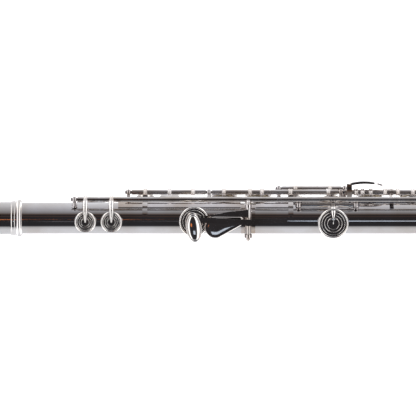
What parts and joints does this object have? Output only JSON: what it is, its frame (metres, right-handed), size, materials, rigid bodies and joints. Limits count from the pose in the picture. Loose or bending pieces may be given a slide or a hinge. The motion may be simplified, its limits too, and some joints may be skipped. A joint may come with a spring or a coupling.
{
  "type": "concert flute",
  "caption": "Silver-plated transverse flute in three joints: head with lip plate, body with open-standing and closed keys on rods, and a foot.",
  "frame": {"origin": "middle of the open foot end, on the bore's axis", "axes": "+X along the bore from the crown to the foot, +Y along the line of the main tone holes, +Z towards the player's side"},
  "size_m": [0.654, 0.0458, 0.0401],
  "materials": {
    "silver_plate": "polished silver plate",
    "hinge_steel": "ground and blued steel",
    "pad_skin": "felt under stretched skin",
    "cork": "greased natural cork"
  },
  "bodies": {
    "body_joint": {"body_tube": "silver_plate", "barrel": "silver_plate", "barrel_rings": "silver_plate", "left_hand_rib": "silver_plate", "right_hand_rib": "silver_plate", "main_posts": "silver_plate", "trill_posts": "silver_plate", "offset_posts": "silver_plate", "gsharp_posts": "silver_plate", "thumb_saddle": "silver_plate", "thumb_axle": "silver_plate", "csharp_steel": "hinge_steel", "right_stack_steel": "hinge_steel", "offset_g_steel": "hinge_steel", "gsharp_steel": "hinge_steel"},
    "head_joint": {"head_tube": "silver_plate", "lip_plate": "silver_plate", "riser": "silver_plate", "head_cork": "cork", "stopper": "silver_plate"},
    "crown": {"crown": "silver_plate"},
    "foot_joint": {"foot_tube": "silver_plate", "foot_socket": "silver_plate", "foot_end_ring": "silver_plate", "foot_posts": "silver_plate", "foot_dsharp_steel": "hinge_steel"},
    "csharp": {"csharp_key": "silver_plate", "csharp_pad": "pad_skin"},
    "bflat": {"bflat_key": "silver_plate", "bflat_pad": "pad_skin"},
    "a": {"a_key": "silver_plate", "a_pad": "pad_skin"},
    "g": {"g_key": "silver_plate", "g_pads": "pad_skin"},
    "gsharp": {"gsharp_key": "silver_plate", "gsharp_pad": "pad_skin"},
    "fsharp": {"fsharp_key": "silver_plate", "fsharp_pad": "pad_skin"},
    "f": {"f_key": "silver_plate", "f_pad": "pad_skin"},
    "e": {"e_key": "silver_plate", "e_pad": "pad_skin"},
    "d": {"d_key": "silver_plate", "d_pad": "pad_skin"},
    "d_trill": {"d_trill_key": "silver_plate", "d_trill_pad": "pad_skin"},
    "dsharp_trill": {"dsharp_trill_key": "silver_plate", "dsharp_trill_pad": "pad_skin"},
    "thumb_b": {"thumb_b_key": "silver_plate", "thumb_pad": "pad_skin"},
    "thumb_bflat": {"thumb_bflat_lever": "silver_plate"},
    "foot_dsharp": {"foot_dsharp_key": "silver_plate", "foot_dsharp_pad": "pad_skin"},
    "foot_csharp": {"foot_csharp_key": "silver_plate", "foot_csharp_pad": "pad_skin"},
    "foot_c": {"foot_c_key": "silver_plate", "foot_c_pad": "pad_skin"}
  },
  "joints": [
    {"name": "tuning_slide", "type": "slide", "parent": "body_joint", "child": "head_joint", "axis": [-1, 0, 0], "range_m": [0, 0.012]},
    {"name": "crown_turn", "type": "hinge", "parent": "head_joint", "child": "crown", "pos_m": [-0.645, 0, 0], "axis": [1, 0, 0], "continuous": true},
    {"name": "foot_twist", "type": "hinge", "parent": "body_joint", "child": "foot_joint", "pos_m": [-0.115, 0, 0], "axis": [1, 0, 0], "range_deg": [-15, 15]},
    {"name": "csharp_press", "type": "hinge", "parent": "body_joint", "child": "csharp", "pos_m": [-0.3, 0.01209, 0.01108], "axis": [-1, 0, 0], "range_deg": [0, 10], "stiffness_Nm_per_rad": 0.02, "springref_deg": -28.65},
    {"name": "bflat_press", "type": "hinge", "parent": "body_joint", "child": "bflat", "pos_m": [-0.3, 0.01209, 0.01108], "axis": [-1, 0, 0], "range_deg": [0, 11], "stiffness_Nm_per_rad": 0.02, "springref_deg": -28.65},
    {"name": "a_press", "type": "hinge", "parent": "body_joint", "child": "a", "pos_m": [-0.3, 0.01209, 0.01108], "axis": [-1, 0, 0], "range_deg": [0, 11], "stiffness_Nm_per_rad": 0.02, "springref_deg": -28.65},
    {"name": "g_press", "type": "hinge", "parent": "body_joint", "child": "g", "pos_m": [-0.3, 0.01753, 0.00855], "axis": [-1, 0, 0], "range_deg": [0, 11], "stiffness_Nm_per_rad": 0.02, "springref_deg": -28.65},
    {"name": "gsharp_press", "type": "hinge", "parent": "body_joint", "child": "gsharp", "pos_m": [-0.3, -0.00061, 0.01289], "axis": [-1, 0, 0], "range_deg": [0, 7.5], "stiffness_Nm_per_rad": 0.02, "springref_deg": -28.65},
    {"name": "fsharp_press", "type": "hinge", "parent": "body_joint", "child": "fsharp", "pos_m": [-0.3, 0.01209, 0.01108], "axis": [-1, 0, 0], "range_deg": [0, 11], "stiffness_Nm_per_rad": 0.02, "springref_deg": -28.65},
    {"name": "f_press", "type": "hinge", "parent": "body_joint", "child": "f", "pos_m": [-0.3, 0.01209, 0.01108], "axis": [-1, 0, 0], "range_deg": [0, 11], "stiffness_Nm_per_rad": 0.02, "springref_deg": -28.65},
    {"name": "e_press", "type": "hinge", "parent": "body_joint", "child": "e", "pos_m": [-0.3, 0.01209, 0.01108], "axis": [-1, 0, 0], "range_deg": [0, 11], "stiffness_Nm_per_rad": 0.02, "springref_deg": -28.65},
    {"name": "d_press", "type": "hinge", "parent": "body_joint", "child": "d", "pos_m": [-0.3, 0.01209, 0.01108], "axis": [-1, 0, 0], "range_deg": [0, 11], "stiffness_Nm_per_rad": 0.02, "springref_deg": -28.65},
    {"name": "d_trill_press", "type": "hinge", "parent": "body_joint", "child": "d_trill", "pos_m": [-0.3, 0.00113, 0.01616], "axis": [-1, 0, 0], "range_deg": [0, 7.5], "stiffness_Nm_per_rad": 0.02, "springref_deg": -28.65},
    {"name": "dsharp_trill_press", "type": "hinge", "parent": "body_joint", "child": "dsharp_trill", "pos_m": [-0.3, 0.00113, 0.01616], "axis": [-1, 0, 0], "range_deg": [0, 7.5], "stiffness_Nm_per_rad": 0.02, "springref_deg": -28.65},
    {"name": "thumb_b_press", "type": "hinge", "parent": "body_joint", "child": "thumb_b", "pos_m": [-0.2957, -0.01026, 0.00861], "axis": [0, -0.6428, -0.766], "range_deg": [0, 3.6], "stiffness_Nm_per_rad": 0.02, "springref_deg": -28.65},
    {"name": "thumb_bflat_press", "type": "hinge", "parent": "body_joint", "child": "thumb_bflat", "pos_m": [-0.2957, -0.01026, 0.00861], "axis": [0, -0.6428, -0.766], "range_deg": [0, 3.6], "stiffness_Nm_per_rad": 0.02, "springref_deg": -28.65},
    {"name": "foot_dsharp_press", "type": "hinge", "parent": "foot_joint", "child": "foot_dsharp", "pos_m": [-0.1, 0.00872, 0.01293], "axis": [1, 0, 0], "range_deg": [0, 11], "stiffness_Nm_per_rad": 0.02, "springref_deg": -28.65},
    {"name": "foot_csharp_press", "type": "hinge", "parent": "foot_joint", "child": "foot_csharp", "pos_m": [-0.08, 0.01044, -0.01159], "axis": [1, 0, 0], "range_deg": [0, 11], "stiffness_Nm_per_rad": 0.02, "springref_deg": -28.65},
    {"name": "foot_c_press", "type": "hinge", "parent": "foot_joint", "child": "foot_c", "pos_m": [-0.06, 0.01044, -0.01159], "axis": [1, 0, 0], "range_deg": [0, 11], "stiffness_Nm_per_rad": 0.02, "springref_deg": -28.65}
  ],
  "couplings": [
    {"joint": "bflat_press", "follows": "thumb_bflat_press", "ratio": 3.0556},
    {"joint": "fsharp_press", "follows": "f_press", "ratio": 1}
  ]
}
